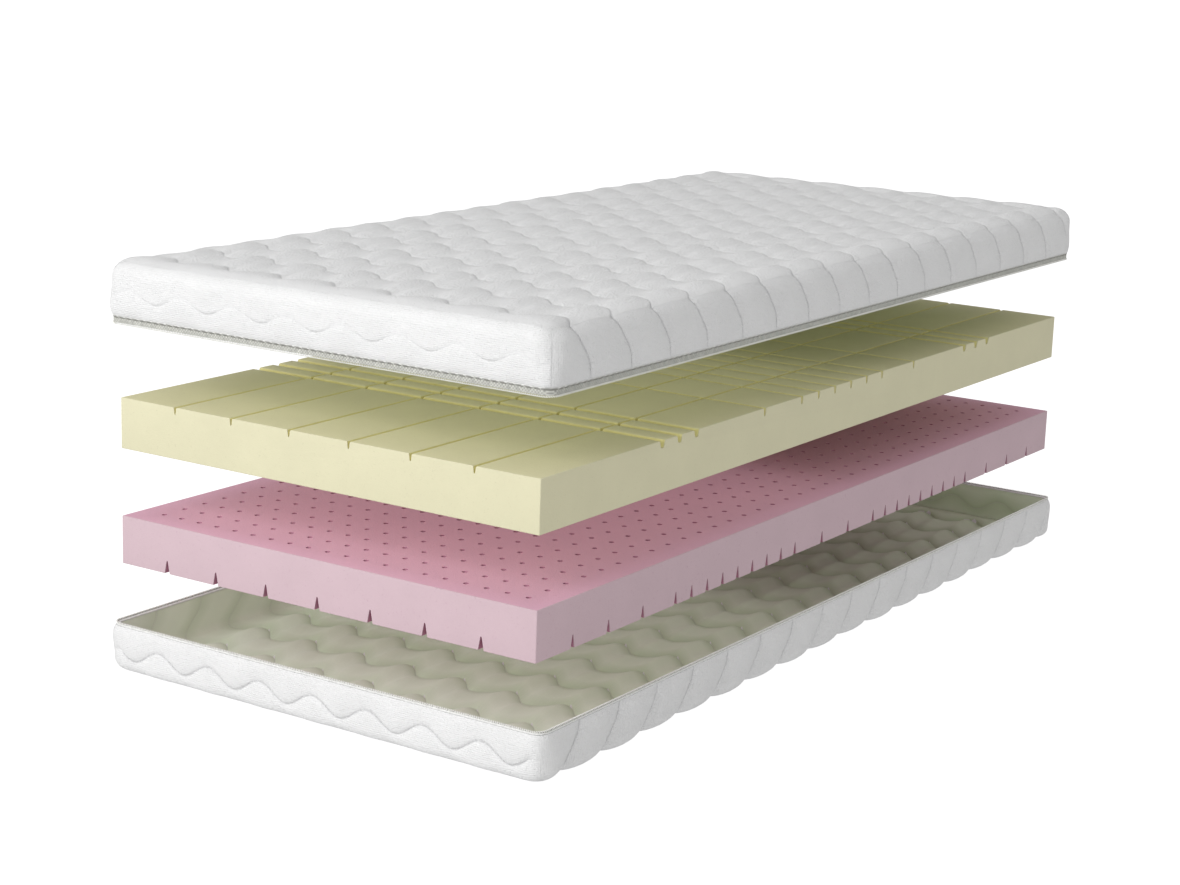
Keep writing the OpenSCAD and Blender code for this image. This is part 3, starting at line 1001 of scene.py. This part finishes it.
def rounded_route(name, half_l, half_w, radius, level):
    """A closed flat curve round the cover: straight sides and round corners"""
    steps = 10
    points = []
    for sx, sy, start in ((1, -1, -90), (1, 1, 0), (-1, 1, 90), (-1, -1, 180)):
        centre = Vector((sx * (half_l - radius), sy * (half_w - radius)))
        for k in range(steps + 1):
            turn = math.radians(start + 90 * k / steps)
            points.append(centre + radius * Vector((math.cos(turn), math.sin(turn))))
    curve = bpy.data.curves.new(name, "CURVE")
    curve.dimensions = "2D"
    curve.fill_mode = "NONE"
    spline = curve.splines.new("POLY")
    spline.points.add(len(points) - 1)
    for item, place in zip(spline.points, points):
        item.co = (place.x, place.y, 0, 1)
    spline.use_cyclic_u = True
    route = linked(bpy.data.objects.new(name, curve))
    route.location.z = level
    length = sum((b - a).length for a, b in zip(points, points[1:] + points[:1]))
    return route, length


def rolled_binding(name, low, high, wall, radius):
    """A folded ribbon over the raw edge: a flat bar bent round the cover"""
    inset = 0.0014
    width = wall - inset
    middle = inset + width / 2
    route, length = rounded_route(
        name + "_route", HALF_L - middle, HALF_W - middle, radius - middle, (low + high) / 2)
    bpy.ops.mesh.primitive_cube_add(size=1)
    piece = renamed(name)
    piece.scale = (length, width, high - low)
    piece.location.x = length / 2
    settle(piece)
    bpy.ops.object.mode_set(mode="EDIT")
    mesh = bmesh.from_edit_mesh(piece.data)
    for face in mesh.faces:
        face.select_set(abs(face.normal.x) > 0.9)
    bmesh.update_edit_mesh(piece.data)
    bpy.ops.mesh.delete(type="FACE")
    mesh = bmesh.from_edit_mesh(piece.data)
    for edge in mesh.edges:
        edge.select_set(abs((edge.verts[0].co - edge.verts[1].co).x) > length / 2)
    bmesh.update_edit_mesh(piece.data)
    bpy.ops.mesh.bevel(offset=0.0013, segments=3, affect="EDGES")
    mesh = bmesh.from_edit_mesh(piece.data)
    long_edges = [e for e in mesh.edges if abs((e.verts[0].co - e.verts[1].co).x) > length / 2]
    bmesh.ops.subdivide_edges(mesh, edges=long_edges, cuts=int(length / 0.012),
                              use_grid_fill=True)
    bmesh.update_edit_mesh(piece.data)
    bpy.ops.object.mode_set(mode="OBJECT")
    apply_modifier(piece, "CURVE", object=route, deform_axis="POS_X")
    close_ring(piece)
    centre_height(piece, (low + high) / 2)
    bpy.data.objects.remove(route)
    return piece


def centre_height(piece, level):
    """Moves the mesh up or down until its middle height is the level"""
    heights = [v.co.z for v in piece.data.vertices]
    middle = (min(heights) + max(heights)) / 2
    piece.data.transform(Matrix.Translation((0, 0, level - middle)))


def close_ring(piece):
    """Joins the two ends of a bar that has been bent into a ring"""
    with editing(piece):
        bpy.ops.mesh.remove_doubles(threshold=0.0002)
        bpy.ops.mesh.normals_make_consistent(inside=False)


def wound_coil(name, zip_sizes, middle, level, radius):
    """One long nylon spiral bent round the cover"""
    route, length = rounded_route(
        name + "_route", HALF_L - middle, HALF_W - middle, zip_sizes.corner - middle / 2, level)
    turns = round(length / zip_sizes.turn)
    bpy.ops.mesh.primitive_circle_add(vertices=5, radius=zip_sizes.wire / 2,
                                      rotation=(math.pi / 2, 0, 0))
    piece = renamed(name)
    settle(piece)
    piece.data.transform(Matrix.Translation((0, 0, radius - zip_sizes.wire / 2)))
    apply_modifier(piece, "SCREW", axis="X", angle=2 * math.pi, screw_offset=length / turns,
                   iterations=turns, steps=8, render_steps=8, use_merge_vertices=False)
    low = min(v.co.x for v in piece.data.vertices)
    piece.data.transform(Matrix.Translation((-low, 0, 0)))
    apply_modifier(piece, "CURVE", object=route, deform_axis="POS_X")
    with editing(piece):
        bpy.ops.mesh.fill_holes(sides=6)
    face_outwards(piece)
    centre_height(piece, level)
    bpy.data.objects.remove(route)
    return piece


def softened_copy(node, edge):
    """A copy of a CAD node with its doubles merged and its sharp edges rounded"""
    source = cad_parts[node]
    piece = linked(bpy.data.objects.new(node + "_cast", source.data.copy()))
    with editing(piece):
        bpy.ops.mesh.remove_doubles(threshold=1e-6)
        bpy.ops.mesh.dissolve_limited(angle_limit=math.radians(4))
    apply_modifier(piece, "BEVEL", width=edge, segments=2, limit_method="ANGLE",
                   angle_limit=math.radians(40))
    return piece


# ---------------------------------------------------------------- foam layers

# Each cut is its width below the rounded shoulders, its width at the bottom and its depth
NARROW_GROOVE = (0.0080, 0.0055, 0.0150)
WIDE_GROOVE = (0.0150, 0.0110, 0.0135)
COMFORT_SLIT = (0.0052, 0.0030, 0.0125)
CORE_SLIT = (0.0118, 0.0028, 0.0240)
CORE_SHOULDER = 0.0012
# Where the cuts lie: counts, spacings and distances from the middle of a layer
COMFORT_STRIPS = 7
LUMBAR_STEP = 0.0643
OUTER_GROOVE = 0.298
WIDE_GROOVES = (0.533, 0.588, 0.643)
CORE_STRIP = 0.114
CORE_COLUMNS = (1, 3, 4, 5, 6, 7, 8, 9, 10, 11, 13, 15, 17)
# The cutters run past the foam by this much, or by half of it for the holes
OVERRUN = 0.02
FOAM_SMOOTHING = math.radians(32)


def groove_outline(mouth, base, depth, shoulder):
    """Half the outline of a cut, from above the face down to its bottom: (across, height)"""
    steps = 5
    centre = mouth / 2 + shoulder
    points = [(centre, 0.004)]
    for k in range(steps + 1):
        turn = math.radians(90 + 80 * k / steps)
        points.append((centre + shoulder * math.cos(turn), shoulder * (math.sin(turn) - 0.96)))
    toe = min(0.3 * base, 0.002)
    points.append((base / 2, toe - depth))
    points.append((base / 2 - toe, -depth))
    return points


def groove_cutter(outline, places, reach, along_x, face, downwards):
    """Bars of one outline, side by side, ready to be cut out of a slab"""
    ring = outline + [(-a, h) for a, h in reversed(outline)]
    sign = 1 if downwards else -1
    points, faces = [], []
    for place in places:
        start = len(points)
        for end in (-reach, reach):
            for a, h in ring:
                across = place + a
                z = face + sign * h
                points.append((end, across, z) if along_x else (across, end, z))
        count = len(ring)
        for k in range(count):
            n = (k + 1) % count
            faces.append((start + k, start + n, start + count + n, start + count + k))
        faces.append(tuple(start + k for k in reversed(range(count))))
        faces.append(tuple(start + count + k for k in range(count)))
    cutter = mesh_piece("cutter", points, faces)
    face_outwards(cutter)
    return cutter


def cut_away(slab, cutter):
    apply_modifier(slab, "BOOLEAN", object=cutter, operation="DIFFERENCE", solver="MANIFOLD")
    bpy.data.objects.remove(cutter)


def foam_slab(name, box, edge):
    low, high = box
    bpy.ops.mesh.primitive_cube_add(size=1, location=(low + high) / 2)
    slab = renamed(name)
    slab.scale = high - low
    settle(slab)
    apply_modifier(slab, "BEVEL", width=edge, segments=3, limit_method="NONE")
    return slab


def hole_cutter(foam, box):
    """All the core's holes: round pins that flare a little at the upper face"""
    low, high = box
    bpy.ops.mesh.primitive_cylinder_add(
        vertices=12, radius=foam.hole / 2, depth=high.z - low.z + OVERRUN,
        location=(0, 0, (low.z + high.z) / 2))
    pin = bpy.context.object
    settle(pin)
    bpy.ops.object.mode_set(mode="EDIT")
    mesh = bmesh.from_edit_mesh(pin.data)
    for face in mesh.faces:
        face.select_set(face.normal.z > 0.9)
    bmesh.update_edit_mesh(pin.data)
    flare, flare_depth = 1.22, 0.0022
    bpy.ops.transform.translate(value=(0, 0, -(OVERRUN / 2 + flare_depth)))
    bpy.ops.mesh.extrude_region_move(
        TRANSFORM_OT_translate={"value": (0, 0, flare_depth + 0.0002)})
    bpy.ops.transform.resize(value=(flare, flare, 1), center_override=(0, 0, high.z))
    bpy.ops.mesh.extrude_region_move(TRANSFORM_OT_translate={"value": (0, 0, 0.006)})
    bpy.ops.object.mode_set(mode="OBJECT")
    pin.name = "cutter"
    for count, step in ((foam.columns, (foam.hole_step_x, 0, 0)),
                        (foam.rows, (0, foam.hole_step_y, 0))):
        apply_modifier(pin, "ARRAY", count=count, use_relative_offset=False,
                       use_constant_offset=True, constant_offset_displace=step)
    pin.data.transform(Matrix.Translation((
        -(foam.columns - 1) / 2 * foam.hole_step_x, -(foam.rows - 1) / 2 * foam.hole_step_y, 0)))
    return pin


def both_ways(values):
    return [-v for v in reversed(values)] + list(values)


# ---------------------------------------------------------------- operators

class PieceOperator:
    """What all the operators below have in common"""
    bl_options = {"REGISTER", "UNDO"}


class MATTRESS_OT_stage(PieceOperator, bpy.types.Operator):
    """Set up the pale floor, the soft lights and the camera"""
    bl_idname = "mattress.stage"
    bl_label = "Stage"

    def execute(self, context):
        settings = context.scene.mattress_stage
        self.floor(settings)
        self.lights(context, settings)
        self.camera(context, settings)
        return {"FINISHED"}

    def floor(self, settings):
        clear_selection()
        under = 0.0012
        bpy.ops.mesh.primitive_plane_add(size=settings.floor_size, location=(0, 0, -under))
        floor = bpy.context.object
        floor.name = "studio_floor"
        settle(floor)
        material, board, shader = new_finish("studio_floor")
        board.fill(shader, {"Base Color": (0.30, 0.30, 0.30, 1.0), "Roughness": 1.0,
            "Specular IOR Level": 0.0, "Emission Color": (1.0, 1.0, 1.0, 1.0)})
        seen = board.add("ShaderNodeLightPath").outputs["Is Camera Ray"]
        board.feed(board.ramp(seen, 0.0, 1.0, settings.floor_glow, settings.floor_white),
                   shader.inputs["Emission Strength"])
        floor.data.materials.append(material)

    def lights(self, context, settings):
        world = bpy.data.worlds.new("studio")
        context.scene.world = world
        world.use_nodes = True
        sky = world.node_tree.nodes["Background"]
        sky.inputs["Color"].default_value = (1.0, 1.0, 1.0, 1.0)
        board = Board(world.node_tree)
        way = board.split(board.add("ShaderNodeTexCoord").outputs["Generated"])
        strength = board.ramp(way["X"], -0.9, 0.35, settings.sky + settings.foot_sky, settings.sky)
        seen = board.add("ShaderNodeLightPath").outputs["Is Camera Ray"]
        board.feed(board.ramp(seen, 0.0, 1.0, strength, 1.0), sky.inputs["Strength"])
        self.panel_light("foot_key", (-5.2, 0.9, 2.7), (-0.4, 0.0, 0.45), (3.4, 3.4),
                         settings.key)
        self.panel_light("overhead", (0, 0, UPPER_SKIN[1].z + 2.4), (0, 0, 0), (3.4, 2.4),
                         settings.overhead)
        below = 0.004
        for name, body, box, share in (("lining_gap", "core_layer", CORE, 0.60),
                                       ("core_gap", "comfort_layer", COMFORT, 0.70),
                                       ("comfort_gap", "top_cover", HEM, 0.5)):
            place = (-0.45 * HALF_L, 0, box[0].z - below)
            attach(self.panel_light(
                name, place, (place[0], 0, 0), (1.05 * HALF_L, 1.7 * HALF_W),
                settings.gap * share), body)
        context.scene.view_settings.view_transform = "Standard"

    def panel_light(self, name, place, aim, size, power):
        light = bpy.data.lights.new(name, "AREA")
        light.shape = "RECTANGLE"
        light.size, light.size_y = size
        light.energy = power
        lamp = linked(bpy.data.objects.new(name, light))
        lamp.location = place
        lamp.rotation_euler = (Vector(aim) - Vector(place)).to_track_quat("-Z", "Y").to_euler()
        lamp.visible_camera = False
        return lamp

    def camera(self, context, settings):
        a, e = settings.azimuth, settings.elevation
        back = Vector((math.sin(a) * math.cos(e), -math.cos(a) * math.cos(e), math.sin(e)))
        right = (-back).cross(Vector((0, 0, 1))).normalized()
        up = right.cross(-back)
        c, s = math.cos(settings.roll), math.sin(settings.roll)
        turn = Matrix((right * c + up * s, -right * s + up * c, back)).transposed()
        view = bpy.data.cameras.new("camera")
        view.sensor_width = 36.0
        view.lens = settings.lens
        view.clip_end = 1000.0
        camera = linked(bpy.data.objects.new("camera", view))
        camera.matrix_world = Matrix.Translation(settings.place) @ turn.to_4x4()
        context.scene.camera = camera


class MATTRESS_OT_lower_cover(PieceOperator, bpy.types.Operator):
    """Build the lower half of the quilted cover: knit, wadding and lining"""
    bl_idname = "mattress.lower_cover"
    bl_label = "Lower cover"

    def execute(self, context):
        build_cover(False, context.scene.mattress_quilt, context.scene.mattress_colours)
        return {"FINISHED"}


class MATTRESS_OT_upper_cover(PieceOperator, bpy.types.Operator):
    """Build the upper half of the quilted cover: knit, wadding and lining"""
    bl_idname = "mattress.upper_cover"
    bl_label = "Upper cover"

    def execute(self, context):
        build_cover(True, context.scene.mattress_quilt, context.scene.mattress_colours)
        return {"FINISHED"}


class MATTRESS_OT_bindings(PieceOperator, bpy.types.Operator):
    """Fold the woven bindings over the raw edges of both cover halves"""
    bl_idname = "mattress.bindings"
    bl_label = "Edge bindings"

    def execute(self, context):
        colours = context.scene.mattress_colours
        quilt = context.scene.mattress_quilt
        # the binding's painted shadow line lies just above the hem binding's lower edge
        finish = woven_finish("woven_binding", colours.binding, 0.0012, 0.30, HEM[0].z + 0.0006)
        wall = LOWER_LINING[0].z + quilt.lining
        for name, box, body, node in (
                ("rim_ribbon", RIM, "bottom_cover", "rim_binding"),
                ("hem_ribbon", HEM, "top_cover", "hem_binding")):
            piece = rolled_binding(name, box[0].z, box[1].z, wall, quilt.hem_corner)
            dress(piece, body, finish, [node], RIBBON_SMOOTHING)
        return {"FINISHED"}


class MATTRESS_OT_comfort_layer(PieceOperator, bpy.types.Operator):
    """Saw the comfort layer: lengthwise slits and two kinds of transverse groove"""
    bl_idname = "mattress.comfort_layer"
    bl_label = "Comfort layer"

    def execute(self, context):
        foam = context.scene.mattress_foam
        colours = context.scene.mattress_colours
        slab = foam_slab("comfort_slab", COMFORT, foam.edge)
        face = COMFORT[1].z
        half_l, half_w = COMFORT[1].x, COMFORT[1].y
        strip = 2 * half_w / COMFORT_STRIPS
        narrow = both_ways([LUMBAR_STEP * (k + 0.5) for k in range(3)] + [OUTER_GROOVE])
        slits = [strip * (k - 2.5) for k in range(COMFORT_STRIPS - 1)]
        cuts = (
            (NARROW_GROOVE, foam.shoulder, narrow, half_w, False),
            (WIDE_GROOVE, foam.wide_shoulder, both_ways(WIDE_GROOVES), half_w, False),
            (COMFORT_SLIT, foam.shoulder, slits, half_l, True))
        for cut, shoulder, places, half, along_x in cuts:
            outline = groove_outline(*cut, shoulder)
            cut_away(slab, groove_cutter(outline, places, half + OVERRUN, along_x, face, True))
        finish = foam_finish("comfort_foam", colours.comfort_side, colours.comfort_top_shaded,
                             colours.comfort_groove_highlight, COMFORT[1], 0.0022, 0.35)
        dress(slab, "comfort_layer", finish, ["comfort_foam"], FOAM_SMOOTHING)
        return {"FINISHED"}


class MATTRESS_OT_core_layer(PieceOperator, bpy.types.Operator):
    """Saw and perforate the core layer: slits in its underside and rows of holes"""
    bl_idname = "mattress.core_layer"
    bl_label = "Core layer"

    def execute(self, context):
        foam = context.scene.mattress_foam
        colours = context.scene.mattress_colours
        slab = foam_slab("core_slab", CORE, foam.edge)
        face = CORE[0].z
        half_l, half_w = CORE[1].x, CORE[1].y
        across = both_ways([k * foam.hole_step_x for k in CORE_COLUMNS])
        strips = [CORE_STRIP * k for k in range(-3, 4)]
        outline = groove_outline(*CORE_SLIT, CORE_SHOULDER)
        for places, half, along_x in ((across, half_w, False), (strips, half_l, True)):
            cut_away(slab, groove_cutter(outline, places, half + OVERRUN, along_x, face, False))
        cut_away(slab, hole_cutter(foam, CORE))
        finish = foam_finish("core_foam", colours.core_side, colours.core_top_shaded,
                             colours.core_cut_shade, CORE[1], 0.0024, 0.45)
        dress(slab, "core_layer", finish, ["core_foam"], FOAM_SMOOTHING)
        return {"FINISHED"}


class MATTRESS_OT_zip_coils(PieceOperator, bpy.types.Operator):
    """Wind the two nylon coils of the zip"""
    bl_idname = "mattress.zip_coils"
    bl_label = "Zip coils"

    def execute(self, context):
        sizes = context.scene.mattress_zip
        finish = coil_finish(context.scene.mattress_colours)
        radius = (UPPER_COIL[1].z - UPPER_COIL[0].z) / 2
        middle = HALF_L - UPPER_COIL[1].x + radius
        for name, level, body, node in (
                ("lower_coil", LOWER_COIL[1].z - radius, "bottom_cover", "zip_coil_lower"),
                ("upper_coil", UPPER_COIL[0].z + radius, "top_cover", "zip_coil_upper")):
            piece = wound_coil(name, sizes, middle, level, radius)
            dress(piece, body, finish, [node])
        return {"FINISHED"}


class MATTRESS_OT_zip_tapes(PieceOperator, bpy.types.Operator):
    """Give the zip tapes their woven finish"""
    bl_idname = "mattress.zip_tapes"
    bl_label = "Zip tapes"

    def execute(self, context):
        colours = context.scene.mattress_colours
        # the tape's painted shadow line lies just below the hem binding
        finish = woven_finish("zip_tape", colours.tape, 0.0030, 0.80, HEM[0].z - 0.0010)
        for node in ("zip_tape_lower", "zip_tape_upper"):
            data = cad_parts[node].data
            data.materials.clear()
            data.materials.append(finish)
        return {"FINISHED"}


class MATTRESS_OT_zip_metal(PieceOperator, bpy.types.Operator):
    """Cast the slider, its bail, the pull tab and the coil clips with soft edges"""
    bl_idname = "mattress.zip_metal"
    bl_label = "Zip metal"

    def execute(self, context):
        edge = context.scene.mattress_zip.metal_edge
        finish = enamel_finish(context.scene.mattress_colours)
        for node, body in METAL_NODES.items():
            piece = softened_copy(node, edge)
            dress(piece, body, finish, [node], METAL_SMOOTHING)
        return {"FINISHED"}


class MATTRESS_PT_panel(bpy.types.Panel):
    """Lists the mattress pieces in the order in which they are made"""
    bl_idname = "MATTRESS_PT_panel"
    bl_label = "Mattress"
    bl_space_type = "VIEW_3D"
    bl_region_type = "UI"
    bl_category = "Mattress"

    def draw(self, context):
        scene = context.scene
        for group in (scene.mattress_quilt, scene.mattress_foam, scene.mattress_zip,
                      scene.mattress_colours, scene.mattress_stage):
            box = self.layout.box()
            for name in group.bl_rna.properties.keys():
                if name not in ("rna_type", "name"):
                    box.prop(group, name)
        for operator in OPERATORS:
            self.layout.operator(operator.bl_idname)


GROUPS = {
    "mattress_quilt": QuiltSizes,
    "mattress_foam": FoamSizes,
    "mattress_zip": ZipSizes,
    "mattress_colours": MattressColours,
    "mattress_stage": StageSettings,
}
OPERATORS = (
    MATTRESS_OT_stage,
    MATTRESS_OT_lower_cover,
    MATTRESS_OT_upper_cover,
    MATTRESS_OT_bindings,
    MATTRESS_OT_comfort_layer,
    MATTRESS_OT_core_layer,
    MATTRESS_OT_zip_coils,
    MATTRESS_OT_zip_tapes,
    MATTRESS_OT_zip_metal,
)


def register():
    for group in GROUPS.values():
        bpy.utils.register_class(group)
    for name, group in GROUPS.items():
        setattr(bpy.types.Scene, name, bpy.props.PointerProperty(type=group))
    for item in OPERATORS + (MATTRESS_PT_panel,):
        bpy.utils.register_class(item)


def unregister():
    for item in reversed(OPERATORS + (MATTRESS_PT_panel,)):
        bpy.utils.unregister_class(item)
    for name, group in GROUPS.items():
        delattr(bpy.types.Scene, name)
        bpy.utils.unregister_class(group)


def main():
    register()
    clear_selection()
    bpy.ops.mattress.stage()
    bpy.ops.mattress.lower_cover()
    bpy.ops.mattress.upper_cover()
    bpy.ops.mattress.bindings()
    bpy.ops.mattress.comfort_layer()
    bpy.ops.mattress.core_layer()
    bpy.ops.mattress.zip_coils()
    bpy.ops.mattress.zip_tapes()
    bpy.ops.mattress.zip_metal()


if __name__ == "__main__":
    main()
